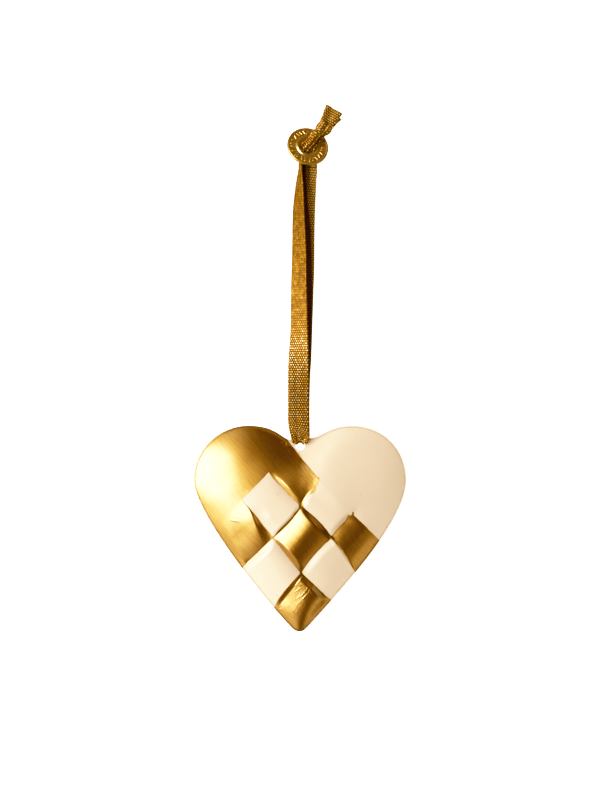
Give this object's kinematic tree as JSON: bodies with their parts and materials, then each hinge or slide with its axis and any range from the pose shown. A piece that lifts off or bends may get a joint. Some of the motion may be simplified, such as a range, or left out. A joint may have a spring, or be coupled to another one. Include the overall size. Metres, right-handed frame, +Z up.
{
  "type": "braided heart ornament",
  "caption": "Puffed metal heart ornament with a woven strip relief in gold and cream paint, a doubled hanging ribbon with a knot, and a small round tag on it. It lies flat on its back.",
  "frame": {"origin": "middle of the heart's bounding box in plan, on the surface that the heart lies on", "axes": "+Z up, out of the heart's painted front; +Y from the tip to the notch and on along the ribbon; +X to the cream lobe"},
  "size_m": [0.0648, 0.1606, 0.012],
  "materials": {
    "heart_paint": "hand-painted pressed tin: glossy metallic gold on one set of strips, satin cream enamel on the other",
    "ribbon": "fine-ribbed metallic gold ribbon that glints",
    "brass": "stamped brass, softly worn"
  },
  "bodies": {
    "root": {"heart": "heart_paint", "ribbon_loop": "ribbon", "ribbon_knot": "ribbon", "brass_tag": "brass"}
  },
  "joints": []
}
